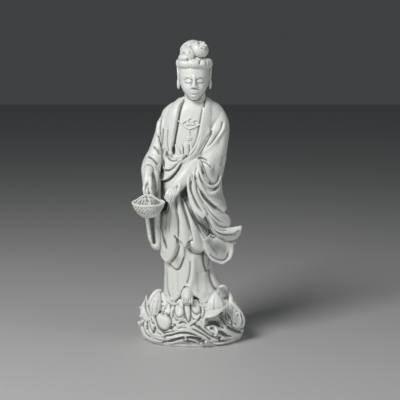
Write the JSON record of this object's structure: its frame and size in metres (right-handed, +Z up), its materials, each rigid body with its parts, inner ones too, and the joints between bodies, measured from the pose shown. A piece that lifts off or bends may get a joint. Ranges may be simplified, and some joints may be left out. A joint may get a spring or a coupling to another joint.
{
  "type": "guanyin figure",
  "caption": "White porcelain Guanyin standing barefoot on a lotus and wave plinth, holding a small openwork basket; long draped robe.",
  "frame": {"origin": "middle of the plinth's flat underside", "axes": "+Z up, the figure faces -Y, +X to the viewer's right"},
  "size_m": [0.1669, 0.1296, 0.45],
  "materials": {
    "porcelain": "clear glossy glaze over white porcelain"
  },
  "bodies": {
    "root": {"guanyin": "porcelain"}
  },
  "joints": []
}
